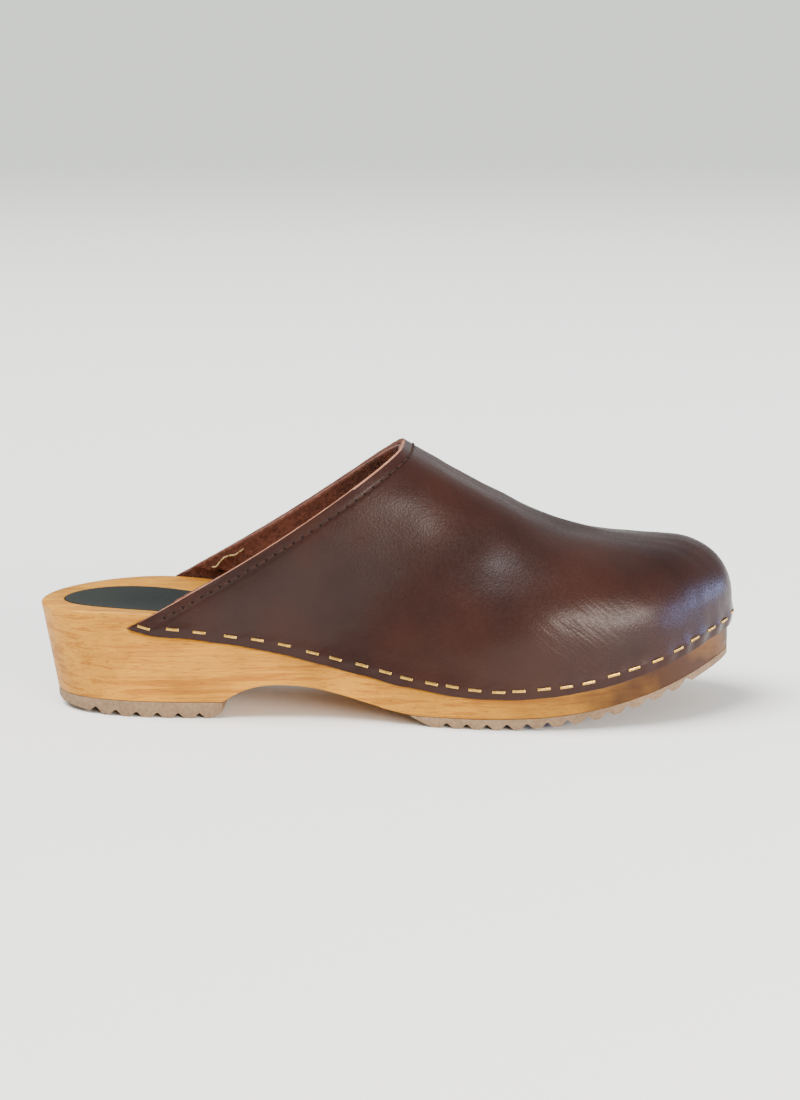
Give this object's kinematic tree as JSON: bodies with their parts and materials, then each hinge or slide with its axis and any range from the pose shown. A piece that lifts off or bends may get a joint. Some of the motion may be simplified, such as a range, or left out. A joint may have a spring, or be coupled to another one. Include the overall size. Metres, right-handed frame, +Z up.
{
  "type": "wooden clog",
  "caption": "Slip-on clog with a carved wooden sole and heel, ridged rubber treads, a heel pad and a stapled leather upper that covers the toes and is open at the back.",
  "frame": {"origin": "on the ground under the centre of the clog's bounding box", "axes": "+X from the heel to the toe, +Y to the inner side of the foot, +Z up; it is a right clog"},
  "size_m": [0.265, 0.0952, 0.1005],
  "materials": {
    "wood": "sanded, oiled lime or alder wood",
    "upper_leather": "smooth dark brown grain leather with a soft sheen",
    "suede": "rough flesh side",
    "dark_pad": "matt dark grey-green coated sheet",
    "tread_rubber": "matt taupe crepe rubber",
    "brass_wire": "brassed steel wire",
    "brown_thread": "twisted waxed thread",
    "pale_thread": "twisted thread"
  },
  "bodies": {
    "root": {"forefoot_tread": "tread_rubber", "forefoot_tread_nail_1": "brass_wire", "forefoot_tread_nail_2": "brass_wire", "heel_pad": "dark_pad", "heel_tread": "tread_rubber", "heel_tread_nail_1": "brass_wire", "heel_tread_nail_2": "brass_wire", "topline_bobbin_thread": "pale_thread", "topline_needle_thread": "brown_thread", "topline_strip": "suede", "upper": "upper_leather", "upper_staple_01": "brass_wire", "upper_staple_02": "brass_wire", "upper_staple_03": "brass_wire", "upper_staple_04": "brass_wire", "upper_staple_05": "brass_wire", "upper_staple_06": "brass_wire", "upper_staple_07": "brass_wire", "upper_staple_08": "brass_wire", "upper_staple_09": "brass_wire", "upper_staple_10": "brass_wire", "upper_staple_11": "brass_wire", "upper_staple_12": "brass_wire", "upper_staple_13": "brass_wire", "upper_staple_14": "brass_wire", "upper_staple_15": "brass_wire", "upper_staple_16": "brass_wire", "upper_staple_17": "brass_wire", "upper_staple_18": "brass_wire", "upper_staple_19": "brass_wire", "upper_staple_20": "brass_wire", "upper_staple_21": "brass_wire", "upper_staple_22": "brass_wire", "upper_staple_23": "brass_wire", "upper_staple_24": "brass_wire", "upper_staple_25": "brass_wire", "upper_staple_26": "brass_wire", "upper_staple_27": "brass_wire", "upper_staple_28": "brass_wire", "upper_staple_29": "brass_wire", "upper_staple_30": "brass_wire", "upper_staple_31": "brass_wire", "upper_staple_32": "brass_wire", "upper_staple_33": "brass_wire", "upper_staple_34": "brass_wire", "upper_staple_35": "brass_wire", "upper_staple_36": "brass_wire", "upper_staple_37": "brass_wire", "upper_staple_38": "brass_wire", "upper_staple_39": "brass_wire", "upper_staple_40": "brass_wire", "upper_staple_41": "brass_wire", "upper_staple_42": "brass_wire", "upper_staple_43": "brass_wire", "upper_staple_44": "brass_wire", "upper_staple_45": "brass_wire", "upper_staple_46": "brass_wire", "upper_staple_47": "brass_wire", "upper_staple_48": "brass_wire", "wood_sole": "wood"}
  },
  "joints": []
}
